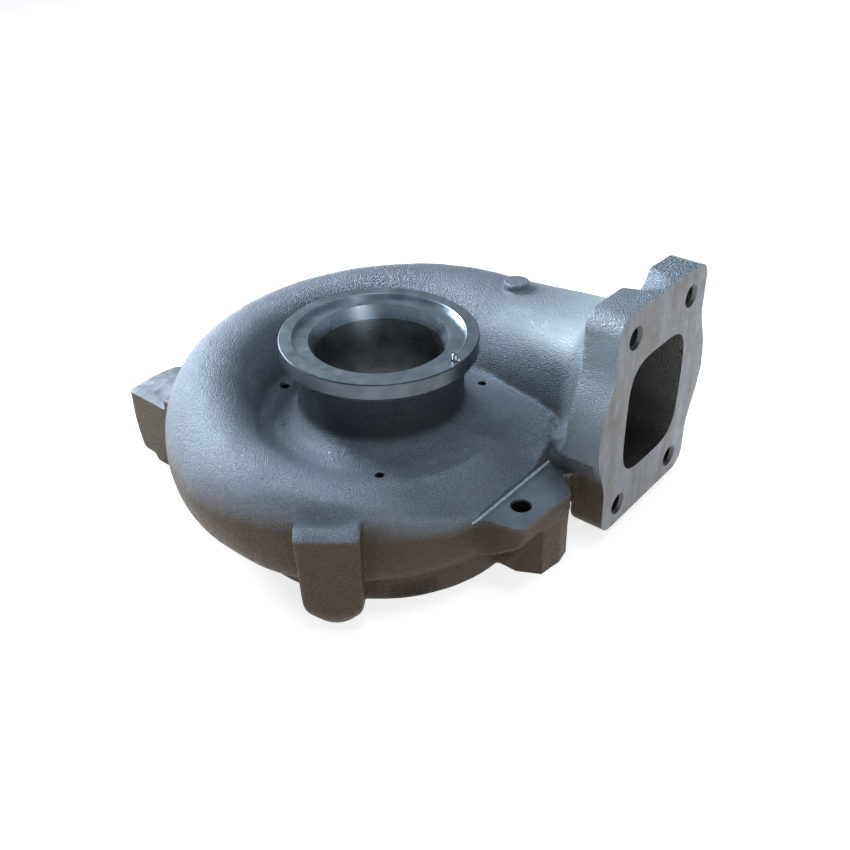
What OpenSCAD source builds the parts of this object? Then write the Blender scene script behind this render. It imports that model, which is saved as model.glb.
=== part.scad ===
// Turbine housing of a large turbocharger, one casting, in millimetres.
// The origin is on the turbine axis, in the plane of the bearing housing face.
// +Z runs up the axis to the gas outlet, and +X is the outward normal of the inlet flange.

/* [Overall] */
// Height from the bearing housing face to the outlet face
housing_h = 120; // [112:1:130]
// Thickness of the cast gas passage walls
wall = 7; // [5:0.5:9]

/* [Outlet] */
// Outer radius of the outlet clamp flange
clamp_r = 56; // [53:0.5:60]
// Height of the clamp flange's straight edge
clamp_edge = 9; // [6:0.5:11]
// Height of the taper under the clamp flange's edge
clamp_taper = 6; // [4:0.5:8]
// Radius of the register recess in the outlet face
recess_r = 48.4; // [46:0.2:50]
// Depth of the register recess
recess_deep = 2.7; // [1.5:0.1:4]
// Radius of the outlet cone where it meets the recess floor
mouth_r = 39.7; // [38.5:0.1:43]
// Depth of the outlet cone
mouth_deep = 7.9; // [5:0.1:12]
// Radius of the turbine wheel's outlet bore
bore_r = 36.6; // [33:0.1:38]
// Radius of the cast neck under the clamp flange
neck_r = 48; // [46:0.5:50]
// Fillet radius at the foot of the neck
neck_fillet = 13; // [8:1:15]

/* [Hub] */
// Radius of the flat hub round the neck
hub_r = 73; // [71:0.5:76]
// Height of the flat hub
hub_z = 70; // [67:0.5:73]
// Rounding of the hub's edge
hub_round = 3; // [1:0.5:5]
// Diameter of the small drilled holes in the hub
hub_hole_d = 5; // [4:0.5:6]
// Distance of the small holes from the turbine axis
hub_hole_at = 65; // [63:0.5:67]
// Depth of the small holes
hub_hole_deep = 12; // [8:1:14]

/* [Scroll] */
// Outer radius of the scroll where the inlet duct joins it
scroll_r = 147.5; // [142:0.5:152]
// Outer radius that the scroll loses in each degree round the axis
scroll_fall = 0.157; // [0.14:0.001:0.165]
// Outer radius that the scroll loses besides, between the pinch's first and last turn
pinch = 15; // [12:0.5:16]
// Radius of the scroll's inner edge
scroll_in = 68; // [66:0.5:70]
// Height of the scroll's crest where the duct joins it
crest_high = 112; // [106:0.5:116]
// Height of the scroll's crest at its small end
crest_low = 26; // [25:0.5:30]
// How late the crest drops towards the small end
crest_bend = 2.2; // [2:0.1:2.4]
// Height of the scroll's lower skin
scroll_floor = 18.5; // [17:0.5:19.5]
// Angle at which the scroll ends
scroll_end = 388; // [380:1:390]

/* [Inlet] */
// Distance of the inlet face from the turbine axis
inlet_x = 123; // [118:0.5:135]
// Distance of the inlet's centre line from the turbine axis
inlet_y = 97.5; // [94:0.5:101]
// Height of the inlet's centre line
inlet_z = 73.5; // [72:0.5:76]
// Thickness of the inlet flange
inlet_t = 22; // [18:0.5:26]
// Width of the inlet flange
inlet_w = 98; // [92:0.5:104]
// Height of the inlet flange
inlet_h = 142; // [136:0.5:146]
// Corner radius of the inlet flange
inlet_corner = 11; // [8:0.5:14]
// Radius of the round swelling that carries the port's sides
swell_r = 59.5; // [56:0.5:62]
// Width of the gas port
port_w = 63; // [58:0.5:66]
// Height of the gas port
port_h = 75; // [70:0.5:78]
// Distance across the flange between the stud holes
stud_w = 62; // [60:0.5:64]
// Distance up the flange between the stud holes
stud_h = 111; // [109:0.5:113]
// Diameter of the tapped stud holes
stud_d = 10.2; // [8.5:0.1:12]
// Diameter of the countersink at the mouth of each stud hole
stud_sink_d = 14; // [13:0.5:15]

/* [Bosses] */
// Number of bolt bosses round the bearing housing side
boss_n = 5; // [4:1:5]
// Angle of the boss under the drilled pad
boss_turn = 9; // [6:1:12]
// Distance of the bosses' outer faces from the axis
boss_out = 112; // [110:0.5:114]
// Width of each boss
boss_w = 31; // [28:0.5:33]
// Height of the bosses' outer faces
boss_face_h = 60; // [54:0.5:64]
// Distance of the boss bolt holes from the axis
boss_hole_at = 98; // [96:0.5:99]
// Diameter of the tapped holes in the bosses
boss_hole_d = 8.5; // [6.8:0.1:10.2]
// Depth of the tapped holes in the bosses
boss_hole_deep = 18; // [14:0.5:20]

/* [Mounting pads] */
// Height of the two milled pads
pad_z = 46; // [44:0.5:48]
// Distance of the right pad's milled shoulder from the axis
pad_in = 88; // [86:0.5:90]
// Distance of the right pad's outer edge from the axis
pad_out = 112; // [110:0.5:116]
// Diameter of the drilled hole in the right pad
pad_hole_d = 10.4; // [8:0.1:11]
// Depth of the drilled hole in the right pad
pad_hole_deep = 18; // [14:0.5:20]
// Distance of the left ear's milled shoulder from the axis
ear_in = 131; // [129:0.5:134]
// Distance of the left ear's outer edge from the axis
ear_out = 170.5; // [165:0.5:175]
// Distance of the left ear's front face from the inlet's axis plane
ear_front = 59; // [56:0.5:62]

/* [Bearing side] */
// Outer radius of the ring on the bearing housing side
ring_r = 88; // [86.5:0.5:89]
// Height of the ring
ring_h = 21; // [20:0.5:23]
// Radius of the bearing housing's register bore
register_r = 70; // [66:0.5:74]
// Depth of the register bore
register_deep = 12; // [8:0.5:14]
// Radius of the heat shield's seat
shield_r = 58; // [54:0.5:62]
// Height of the heat shield's seat
shield_z = 24; // [20:0.5:26]
// Radius of the turbine wheel's inlet
wheel_r = 47.5; // [45:0.5:50]
// Height of the lower side of the nozzle gap
nozzle_z = 32; // [30:0.5:34]
// Height of the nozzle gap
nozzle_h = 14; // [10:0.5:15]
// Outer radius of the nozzle gap
nozzle_r = 83; // [81:0.5:84]

/* [Locating pin] */
// Diameter of the locating pin in the clamp flange
pin_d = 3; // [2:0.1:4]
// Height of the pin above the clamp flange
pin_up = 4; // [2:0.5:6]
// Depth of the pin's hole
pin_deep = 8; // [5:0.5:10]
// Radial clearance round the pin
pin_clear = 0.02; // [0.01:0.01:0.1]
// Angle of the pin round the outlet
pin_turn = 2; // [-20:1:20]

/* [Hidden] */
$fn = 96;
slack = 1;
cast_grey = [0.46, 0.47, 0.49];
pin_blue = [0.30, 0.42, 0.62];
hub_hole_turns = [-164, -50, 63];
core_r = ring_r + 2;
core_z = pad_z + 1.5;
core_sides = 60;
rows_duct = 10;
rows_scroll = 42;
skin_points = 30;
gas_points = 22;
gas_back_off = 50;
pinch_from = 250;
pinch_over = 56;
least_half = 2;
flare_power = 10;
turn_start = 90;
port_power = 4;
duct_flare = 9;
duct_over = 4;
inlet_back = inlet_x - inlet_t;
plate_mid = inlet_z + 1.5;
plate_top = plate_mid + inlet_h / 2;
pad_front = 22.7;
pad_back = 44;
pad_thick = 10;
pad_root = 30;
ear_low = 2;
ear_step = 8;
ear_len = 52;
throat_z = nozzle_z + nozzle_h;
pin_at = (clamp_r + recess_r) / 2;
pin_sides = 32;

// Value that is the share s of the way from a to b
function blend(a, b, s) = a + (b - a) * s;

// Share s with its two ends made level
function ease(s) = s * s * (3 - 2 * s);

// Point of an oval with half sizes a and b, round at power 2 and squarer above it
function oval(a, b, power, u) =
    [a * sign(cos(u)) * pow(abs(cos(u)), 2 / power),
     b * sign(sin(u)) * pow(abs(sin(u)), 2 / power)];

// Share of the way round the scroll, from the duct to the small end
function way(turn) = (turn - turn_start) / (scroll_end - turn_start);
function pinch_at(turn) = pinch * ease(min(1, max(0, (turn - pinch_from) / pinch_over)));
function outer_at(turn) = scroll_r - scroll_fall * (turn - turn_start) - pinch_at(turn);
function crest_at(turn) = blend(crest_low, crest_high, 1 - pow(way(turn), crest_bend));

// Ring of points round the scroll at one turn, moved inwards by cut
function scroll_ring(turn, cut, count) = let(
    half_r = (outer_at(turn) - scroll_in) / 2,
    half_z = (crest_at(turn) - scroll_floor) / 2,
    mid_r = scroll_in + half_r,
    mid_z = scroll_floor + half_z)
    [for (k = [0 : count - 1]) let(p = oval(max(half_r - cut, least_half), max(half_z - cut, least_half),
        2, 360 * (k + 0.5) / count))
        [(mid_r + p[0]) * cos(turn), (mid_r + p[0]) * sin(turn), mid_z + p[1]]];

// Ring of points round the duct at the distance x from the axis, moved inwards by cut
function duct_ring(x, cut, count, flare) = let(
    s = min(1, x / inlet_back),
    e = ease(s),
    half_r = blend((outer_at(turn_start) - scroll_in) / 2, port_w / 2 + wall, e),
    half_z = blend((crest_high - scroll_floor) / 2, port_h / 2 + wall, e),
    mid_y = blend(scroll_in + (outer_at(turn_start) - scroll_in) / 2, inlet_y, e),
    mid_z = blend((crest_high + scroll_floor) / 2, inlet_z, e),
    grow = flare * pow(s, flare_power) - cut)
    [for (k = [0 : count - 1]) let(p = oval(half_r + grow, half_z + grow,
        blend(2, port_power, e), 360 * (k + 0.5) / count))
        [x, mid_y + p[0], mid_z + p[1]]];

// Closed skin over a list of rings that all have the same number of points
module skin(rings) {
    n = len(rings[0]);
    last = (len(rings) - 1) * n;
    faces_side = [for (i = [0 : len(rings) - 2], k = [0 : n - 1], half = [0, 1])
        let(a = i * n + k, b = i * n + (k + 1) % n)
        half == 0 ? [a, b, b + n] : [a, b + n, a + n]];
    faces_end = [[for (k = [0 : n - 1]) n - 1 - k], [for (k = [0 : n - 1]) last + k]];
    polyhedron([for (r = rings) each r], concat(faces_side, faces_end), convexity = 8);
}

// The duct from the flange to the scroll, and the scroll on round to its small end
function run_rings(x_start, cut, count, flare, turn_last) = concat(
    [for (i = [0 : rows_duct - 1])
        duct_ring(x_start * (1 - i / rows_duct), cut, count, flare)],
    [for (i = [0 : rows_scroll])
        scroll_ring(blend(turn_start, turn_last, i / rows_scroll), cut, count)]);

module cast_skin() {
    skin(run_rings(inlet_back + duct_over, 0, skin_points, duct_flare, scroll_end));
}

// Gas passage from the inlet port round the scroll
module gas_passage() {
    skin(run_rings(inlet_x + slack, wall, gas_points, 0, scroll_end - gas_back_off));
}

// Circle drawn with straight sides
function ring_path(r, count) =
    [for (k = [0 : count - 1]) let(u = 360 * (k + 0.5) / count) [r * cos(u), r * sin(u)]];

// Arc round the point x, y, drawn with straight sides
function arc(x, y, r, from, to, steps) =
    [for (i = [0 : steps]) let(u = blend(from, to, i / steps)) [x + r * cos(u), y + r * sin(u)]];

// Ring on the bearing housing side
module bearing_ring() {
    edge = 2;
    cylinder(h = edge, r1 = ring_r - edge, r2 = ring_r);
    translate([0, 0, edge]) cylinder(h = ring_h - edge, r = ring_r);
}

// Cast body on the axis above the ring, with the flat hub on top
module core() {
    foot = 4;
    profile = concat(
        arc(hub_r - hub_round, hub_z - hub_round, hub_round, 90, 40, 3),
        [[core_r, core_z], [core_r, ring_h], [ring_r - foot, ring_h - foot]]);
    skin([for (p = profile) [for (q = ring_path(p[0], core_sides)) [q[0], q[1], p[1]]]]);
}

// Neck and clamp flange of the gas outlet
module outlet() {
    under = housing_h - clamp_edge - clamp_taper;
    foot = 0.3;
    rim = 0.6;
    low = hub_z - 5;
    rotate_extrude() polygon(concat(
        [[0, low], [neck_r + neck_fillet, low]],
        arc(neck_r + neck_fillet, hub_z + foot + neck_fillet, neck_fillet, 270, 180, 8),
        [[neck_r, under], [clamp_r, housing_h - clamp_edge], [clamp_r, housing_h - rim],
         [clamp_r - rim, housing_h], [0, housing_h]]));
}

// Web between the hub, the duct and the inlet flange, that dips to the drilled pad's shoulder
module web() {
    low = 42;
    corner = 14;
    bite = 2;
    root = 30;
    flat_x = 64;
    dip_z = pad_z + 4;
    front = pad_back + 0.5;
    intersection() {
        translate([0, 0, low]) linear_extrude(hub_z - low)
            polygon([[root, 0], [pad_in, 0], [pad_in, front], [inlet_back + bite, front],
                [inlet_back + bite, inlet_y - port_w / 2], [root, scroll_in + corner]]);
        translate([0, inlet_y, 0]) rotate([90, 0, 0]) linear_extrude(inlet_y + slack)
            polygon([[root, low - slack], [root, hub_z], [flat_x, hub_z], [pad_in, dip_z],
                [inlet_back, hub_z - bite], [inlet_back + 2 * bite, hub_z - bite],
                [inlet_back + 2 * bite, low - slack]]);
    }
}

// Rib that closes the corner between the drilled pad, the duct and the inlet flange
module corner_rib() {
    from_x = 84;
    from_y = 40;
    low = 22;
    top = 45;
    bite = 2;
    translate([from_x, from_y, low])
        cube([inlet_back + bite - from_x, inlet_y - port_w / 2 - from_y, top - low]);
}

// Plate of the inlet flange, with the round swelling beside the port and a small nib on its far edge
module inlet_flange() {
    nib = 6;
    nib_out = 2;
    translate([inlet_back, 0, 0]) rotate([90, 0, 90]) linear_extrude(inlet_t) flange_outline();
    translate([inlet_x - inlet_t + nib, inlet_y + swell_r + nib_out - nib, inlet_z - nib / 2])
        cube([inlet_t - nib, nib, nib]);
}

module flange_outline() {
    swell_share = 0.62;
    translate([inlet_y, plate_mid]) rounded_box(inlet_w, inlet_h, inlet_corner);
    translate([inlet_y, inlet_z]) intersection() {
        circle(swell_r);
        square([3 * swell_r, 2 * swell_share * swell_r], center = true);
    }
}

// Rectangle with round corners, made of two bars and four circles
module rounded_box(w, h, r) {
    square([w - 2 * r, h], center = true);
    square([w, h - 2 * r], center = true);
    for (x = [-1, 1], y = [-1, 1])
        translate([x * (w / 2 - r), y * (h / 2 - r)]) circle(r);
}

// Scoop in the top of the flange's back edge, between the two upper stud holes
module flange_scoop() {
    scoop_r = 16;
    rise = 6;
    tilt = 32;
    side = 3;
    translate([inlet_back - slack, inlet_y + side, plate_top + rise]) rotate([0, 90 - tilt, 0])
        cylinder(h = 2 * scoop_r, r = scoop_r);
}

// Four tapped holes with countersinks in the inlet face
module stud_holes() {
    lift = 0.01;
    for (y = [-1, 1], z = [-1, 1])
        translate([inlet_x, inlet_y + y * stud_w / 2, inlet_z + z * stud_h / 2]) rotate([0, -90, 0]) {
            translate([0, 0, -slack]) cylinder(h = inlet_t + 2 * slack, d = stud_d);
            translate([0, 0, -lift])
                cylinder(h = (stud_sink_d - stud_d) / 2, d1 = stud_sink_d, d2 = stud_d);
        }
}

// Space of a boss whose foot narrows to a round
module boss_bullet() {
    foot_r = 14;
    wide_r = 26;
    foot_h = 14;
    inward = 20;
    reach = 60;
    translate([boss_out - inward, 0, 0]) rotate_extrude() polygon([[0, 0], [foot_r, 0],
        [wide_r, foot_h], [reach, foot_h], [reach, housing_h], [0, housing_h]]);
}

// One bolt boss on the bearing side, with slanted top, blunt corners and a round foot
module boss() {
    slope = 8;
    slant = 5;
    blunt = 4;
    root = ring_r - 16;
    intersection() {
        translate([root, 0, 0]) rotate([90, 0, 0]) linear_extrude(boss_w, center = true)
            translate([boss_out - root, 0]) polygon([[root - boss_out, 0], [0, 0], [0, boss_face_h],
                [-slant, boss_face_h + slope], [root - boss_out, boss_face_h + slope]]);
        linear_extrude(housing_h) polygon(concat([[root, -boss_w / 2]],
            arc(boss_out - blunt, blunt - boss_w / 2, blunt, -90, 0, 3),
            arc(boss_out - blunt, boss_w / 2 - blunt, blunt, 0, 90, 3), [[root, boss_w / 2]]));
        boss_bullet();
    }
}

// Foot under the drilled pad, in the place of the first boss
module pad_foot() {
    root = 70;
    front = -2;
    lead = 5;
    bulge = 2;
    bulge_at = 20;
    turn_in = 31;
    back = 37;
    bevel = 12.5;
    translate([pad_out, 0, 0]) linear_extrude(pad_z - pad_thick)
        polygon([[root - pad_out, front], [-bevel, front], [0, lead], [bulge, bulge_at], [0, turn_in],
            [-bevel, back], [root - pad_out, back]]);
}

module bosses() {
    pad_foot();
    for (i = [1 : boss_n - 1]) rotate(boss_turn - i * 360 / boss_n) boss();
}

module boss_holes() {
    for (i = [0 : boss_n - 1])
        rotate(boss_turn - i * 360 / boss_n) translate([boss_hole_at, 0, -slack])
            cylinder(h = boss_hole_deep + slack, d = boss_hole_d);
}

// Milled pad on the inlet side, thinner at its outer edge
module right_pad() {
    blunt = 5;
    flare = 2;
    bevel = 16;
    low = 10;
    knee = 22;
    knee_run = 8;
    knee_drop = 2;
    drop = 9;
    intersection() {
        linear_extrude(pad_z) polygon(concat(
            [[pad_root, -pad_front], [pad_in, -pad_front]],
            arc(pad_out - blunt, drop - pad_front, blunt, -80, 0, 3),
            [[pad_out + flare, pad_back - bevel], [pad_in + blunt, pad_back], [pad_root, pad_back]]));
        translate([0, pad_back + slack, 0]) rotate([90, 0, 0])
            linear_extrude(pad_front + pad_back + 2 * slack)
                polygon([[pad_root, pad_z + slack], [pad_root, low], [pad_in, knee - knee_drop],
                    [pad_in + knee_run, knee], [pad_out + 2 * flare, pad_z - pad_thick],
                    [pad_out + 2 * flare, pad_z + slack]]);
    }
}

// Space that the milling cutter clears above the right pad
module right_pad_cut() {
    reach = 60;
    side = 6;
    tall = 12;
    translate([pad_in, -pad_front - side, pad_z]) cube([reach, pad_front + pad_back + side, tall]);
}

module pad_hole() {
    inward = 13;
    aside = 0.4;
    translate([pad_out - inward, aside, pad_z - pad_hole_deep])
        cylinder(h = pad_hole_deep + slack, d = pad_hole_d);
}

// Tall ear on the far side, with a milled top, a bowed outer edge and a slanted lower corner
module left_ear() {
    blunt = 4;
    bow = 4;
    slant = 14;
    root = 90;
    bow_at = 0.4;
    back = ear_len - ear_front;
    intersection() {
        translate([0, 0, ear_low]) linear_extrude(pad_z + ear_step - ear_low) polygon(concat(
            [[-root, -ear_front]],
            arc(-ear_out + bow + blunt, -ear_front + blunt, blunt, 270, 200, 3),
            [[-ear_out, -ear_front + bow_at * ear_len], [-ear_out + bow, back - slant],
             [-ear_out + bow + slant, back], [-root, back]]));
        translate([0, back + slack, 0]) rotate([90, 0, 0]) linear_extrude(ear_len + 2 * slack)
            polygon([[-root, 0], [-ear_out + slant, 0], [-ear_out - slack, slant],
                [-ear_out - slack, housing_h], [-root, housing_h]]);
    }
}

// Space that the milling cutter clears above the left ear
module left_ear_cut() {
    side = 4;
    translate([-ear_out - slack, -ear_front - side, pad_z])
        cube([ear_out - ear_in + slack, ear_len + 2 * side, ear_step + slack]);
}

// Short round boss on the crest where the duct begins
module crest_boss() {
    boss_d = 15;
    boss_x = 19;
    aside = 8.5;
    rise = 4.5;
    low = 90;
    translate([boss_x, inlet_y + aside, low]) cylinder(h = crest_high + rise - low, d = boss_d);
}

// Shallow rectangular pocket in the ring's side
module ring_pocket() {
    pocket_w = 24;
    pocket_z = 3.5;
    pocket_h = 8.5;
    pocket_deep = 2;
    pocket_turn = -39;
    rotate(pocket_turn) translate([ring_r - pocket_deep, -pocket_w / 2, pocket_z])
        cube([3 * pocket_deep, pocket_w, pocket_h]);
}

// Bores on the turbine axis, from the bearing side up to the outlet recess
module turned_bores() {
    steps = 6;
    chamfer = 1;
    floor_z = housing_h - recess_deep;
    curve = wheel_r - bore_r;
    rotate_extrude() polygon(concat(
        [[0, -slack], [register_r + chamfer, -slack], [register_r + chamfer, 0], [register_r, chamfer],
         [register_r, register_deep], [shield_r, register_deep], [shield_r, shield_z],
         [wheel_r, shield_z], [wheel_r, throat_z]],
        [for (i = [1 : steps]) let(u = 90 * i / steps)
            [wheel_r - curve * (1 - cos(u)), throat_z + 1.5 * curve * sin(u)]],
        [[bore_r, floor_z - mouth_deep], [mouth_r, floor_z], [recess_r, floor_z],
         [recess_r, housing_h + slack], [0, housing_h + slack]]));
}

// Gap that leads the gas from the scroll to the wheel
module nozzle_gap() {
    translate([0, 0, nozzle_z]) linear_extrude(nozzle_h) polygon(ring_path(nozzle_r, core_sides));
}

module hub_holes() {
    for (t = hub_hole_turns) rotate(t) translate([hub_hole_at, 0, hub_z - hub_hole_deep])
        cylinder(h = hub_hole_deep + slack, d = hub_hole_d);
}

module pin_hole() {
    rotate(pin_turn) translate([pin_at, 0, housing_h - pin_deep])
        cylinder(h = pin_deep + slack, d = pin_d + 2 * pin_clear, $fn = pin_sides);
}

// Everything that is joined to the swept skin of the gas passage
module cast_forms() {
    bearing_ring();
    core();
    outlet();
    web();
    corner_rib();
    inlet_flange();
    bosses();
    right_pad();
    left_ear();
    crest_boss();
}

// Everything that is machined or cored out, apart from the gas passage
module hollows() {
    turned_bores();
    nozzle_gap();
    stud_holes();
    flange_scoop();
    boss_holes();
    right_pad_cut();
    pad_hole();
    left_ear_cut();
    ring_pocket();
    hub_holes();
    pin_hole();
}

module turbine_housing() {
    color(cast_grey) difference() {
        union() {
            cast_forms();
            cast_skin();
        }
        gas_passage();
        hollows();
    }
}

// Dowel pin that stands in the outlet flange
module locating_pin() {
    tip = 0.5;
    color(pin_blue) rotate(pin_turn) translate([pin_at, 0, housing_h - pin_deep]) {
        cylinder(h = pin_deep + pin_up - tip, d = pin_d, $fn = pin_sides);
        translate([0, 0, pin_deep + pin_up - tip])
            cylinder(h = tip, d1 = pin_d, d2 = pin_d - 2 * tip, $fn = pin_sides);
    }
}

turbine_housing();
locating_pin();
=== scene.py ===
import math

import bmesh
import bpy
import numpy as np
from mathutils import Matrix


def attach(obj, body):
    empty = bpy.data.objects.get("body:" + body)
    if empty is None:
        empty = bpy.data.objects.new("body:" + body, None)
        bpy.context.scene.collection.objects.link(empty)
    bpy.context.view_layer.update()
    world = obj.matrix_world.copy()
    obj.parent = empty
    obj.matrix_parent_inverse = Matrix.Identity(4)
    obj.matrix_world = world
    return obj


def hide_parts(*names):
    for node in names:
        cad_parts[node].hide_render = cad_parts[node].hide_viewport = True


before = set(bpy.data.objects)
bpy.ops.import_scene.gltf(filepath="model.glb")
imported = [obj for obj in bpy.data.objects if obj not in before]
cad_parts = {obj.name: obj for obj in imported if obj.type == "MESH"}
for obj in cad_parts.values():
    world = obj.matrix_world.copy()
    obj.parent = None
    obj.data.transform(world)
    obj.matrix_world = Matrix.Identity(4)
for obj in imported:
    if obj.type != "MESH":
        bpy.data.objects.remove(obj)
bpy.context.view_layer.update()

import openvdb as vdb
from mathutils import Matrix, Vector

MM = 0.001

# Sizes of the solids in part.scad, in millimetres and degrees
HOUSING_H = 120.0
CLAMP_R, CLAMP_EDGE, CLAMP_TAPER = 56.0, 9.0, 6.0
RECESS_R, RECESS_DEEP = 48.4, 2.7
MOUTH_R, MOUTH_DEEP, BORE_R = 39.7, 7.9, 36.6
NECK_R, NECK_FILLET = 48.0, 13.0
HUB_R, HUB_Z, HUB_ROUND = 73.0, 70.0, 3.0
HUB_HOLE_D, HUB_HOLE_AT, HUB_HOLE_DEEP = 5.0, 65.0, 12.0
HUB_HOLE_TURNS = (-164, -50, 63)
SCROLL_R, SCROLL_FALL, SCROLL_IN = 147.5, 0.157, 68.0
CREST_HIGH, CREST_LOW, CREST_BEND = 112.0, 26.0, 2.2
PINCH, PINCH_FROM, PINCH_OVER = 15.0, 250.0, 56.0
SCROLL_FLOOR, SCROLL_END, TURN_START = 18.5, 388.0, 90.0
WALL, GAS_BACK_OFF = 7.0, 50.0
INLET_X, INLET_Y, INLET_Z, INLET_T = 123.0, 97.5, 73.5, 22.0
INLET_W, INLET_H, INLET_CORNER, SWELL_R = 98.0, 142.0, 11.0, 59.5
PORT_W, PORT_H, PORT_POWER = 63.0, 75.0, 4.0
DUCT_FLARE, FLARE_POWER = 9.0, 10
STUD_W, STUD_H, STUD_D, STUD_SINK_D = 62.0, 111.0, 10.2, 14.0
BOSS_N, BOSS_TURN, BOSS_OUT, BOSS_W, BOSS_FACE_H = 5, 9.0, 112.0, 31.0, 60.0
BOSS_HOLE_AT, BOSS_HOLE_D, BOSS_HOLE_DEEP = 98.0, 8.5, 18.0
PAD_Z, PAD_IN, PAD_OUT, PAD_FRONT, PAD_BACK = 46.0, 88.0, 112.0, 22.7, 44.0
PAD_THICK, PAD_HOLE_D, PAD_HOLE_DEEP = 10.0, 10.4, 18.0
EAR_IN, EAR_OUT, EAR_FRONT, EAR_LEN, EAR_STEP = 131.0, 170.5, 59.0, 52.0, 8.0
RING_R, RING_H, CORE_R, CORE_Z = 88.0, 21.0, 90.0, 47.5
REGISTER_R, REGISTER_DEEP, SHIELD_R, SHIELD_Z = 70.0, 12.0, 58.0, 24.0
WHEEL_R, NOZZLE_Z, NOZZLE_H, NOZZLE_R = 47.5, 32.0, 14.0, 83.0
PIN_D, PIN_DEEP, PIN_TURN, PIN_CLEAR = 3.0, 8.0, 2.0, 0.02

INLET_BACK = INLET_X - INLET_T
PLATE_MID = INLET_Z + 1.5
PLATE_TOP = PLATE_MID + INLET_H / 2
CLAMP_FOOT = HOUSING_H - CLAMP_EDGE - CLAMP_TAPER
RECESS_Z = HOUSING_H - RECESS_DEEP
THROAT_Z = NOZZLE_Z + NOZZLE_H
PIN_AT = (CLAMP_R + RECESS_R) / 2
PAD_HOLE_X, PAD_HOLE_Y = PAD_OUT - 13, 0.4
EAR_BACK = EAR_LEN - EAR_FRONT

# Iron that is cast on below and in front, and cut off when those sides are faced
UNDER_STOCK, FACE_STOCK = 6.0, 3.0

# Foot fillet of the milled shoulders, and how far their cutters reach past the castings
SHOULDER_FILLET, PAD_SPARE, EAR_SPARE = 1.3, 6.0, 4.0

# Grid on which the cast body is worked out
STEP = 1.25
LOW = np.array([-177.0, -126.0, -7.0])
HIGH = np.array([131.0, 165.0, 153.0])
AXES = [np.arange(LOW[i], HIGH[i], STEP, dtype=np.float32) for i in range(3)]
X = AXES[0][:, None, None]
Y = AXES[1][None, :, None]
Z = AXES[2][None, None, :]
FAR = np.float32(40.0)
TABLE_STEP = 0.5
MOST_FACES = 150000


def arc(x, y, r, start, end, steps):
    """Points of an arc round x, y, from one angle to another in degrees."""
    return [
        (x + r * math.cos(math.radians(a)), y + r * math.sin(math.radians(a)))
        for a in np.linspace(start, end, steps + 1)
    ]


def polar(r, turn, z):
    """Point at a radius and a turn round the axis."""
    return (r * math.cos(math.radians(turn)), r * math.sin(math.radians(turn)), z)


def outline_distance(points, p, q):
    """Signed distance of the places p, q from a closed outline, negative inside."""
    best = np.full(np.broadcast(p, q).shape, 1e9, np.float32)
    inside = np.zeros(best.shape, bool)
    for (ax, ay), (bx, by) in zip(points, points[1:] + points[:1]):
        ex, ey = bx - ax, by - ay
        length = max(ex * ex + ey * ey, 1e-9)
        t = np.clip(((p - ax) * ex + (q - ay) * ey) / length, 0, 1)
        best = np.minimum(best, (p - ax - t * ex) ** 2 + (q - ay - t * ey) ** 2)
        if abs(ey) > 1e-9:
            crosses = (ay > q) != (by > q)
            inside ^= crosses & (p < (q - ay) / ey * ex + ax)
    best = np.sqrt(best)
    return np.where(inside, -best, best).astype(np.float32)


def met(a, b, soft=0.0):
    """Intersection of two distances, with its outer edges rounded by soft."""
    a, b = a + soft, b + soft
    outer = np.sqrt(np.maximum(a, 0) ** 2 + np.maximum(b, 0) ** 2)
    return outer + np.minimum(np.maximum(a, b), 0) - soft


def extruded(flat, along, low, high, soft=0.0):
    """Distance of an outline's extrusion, with its end edges rounded by soft."""
    return met(flat, np.maximum(low - along, along - high), soft)


def joined(a, b, soft):
    """Union of two distances with a cast fillet."""
    h = np.clip(0.5 + 0.5 * (b - a) / soft, 0, 1)
    return b + (a - b) * h - soft * h * (1 - h)


def carved(a, b, soft):
    """Distance a with b taken away, with a rounded edge."""
    return -joined(-a, b, soft)


def eased(s):
    """Share from 0 to 1 that starts and ends level; values outside are held."""
    s = np.clip(s, 0, 1)
    return s * s * (3 - 2 * s)


def oval_distance(p, q, a, b, power):
    """Near distance from an oval with half sizes a and b."""
    u, v = np.abs(p) / a, np.abs(q) / b
    g = np.maximum((u**power + v**power) ** (1 / power), 0.05)
    slope = np.sqrt((u ** (power - 1) / a) ** 2 + (v ** (power - 1) / b) ** 2) + 1e-6
    return (g - 1) / (slope * g ** (1 - power))


def swept(profile, out, start, end):
    """Distance of a profile of out, z points, looked up by each column's way out."""
    places = np.arange(start, end, TABLE_STEP, dtype=np.float32)
    table = outline_distance(profile, places[:, None], AXES[2][None, :])
    at = np.clip((out[:, :, 0] - start) / TABLE_STEP, 0, len(places) - 2)
    i = at.astype(int)
    t = (at - i)[:, :, None].astype(np.float32)
    return table[i] * (1 - t) + table[i + 1] * t


def revolved(profile):
    """Distance of a turned profile of r, z points."""
    mirrored = profile + [(-r, z) for r, z in reversed(profile)]
    return swept(mirrored, np.sqrt(X * X + Y * Y), 0, 260)


def local_plane(turn):
    """Coordinates turned about the axis: outwards and sideways."""
    c, s = math.cos(math.radians(turn)), math.sin(math.radians(turn))
    return X * c + Y * s, Y * c - X * s


def flat_outline(points):
    """Distance from an outline in X and Y, as a layer of the grid."""
    return outline_distance(points, X, Y)


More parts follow.
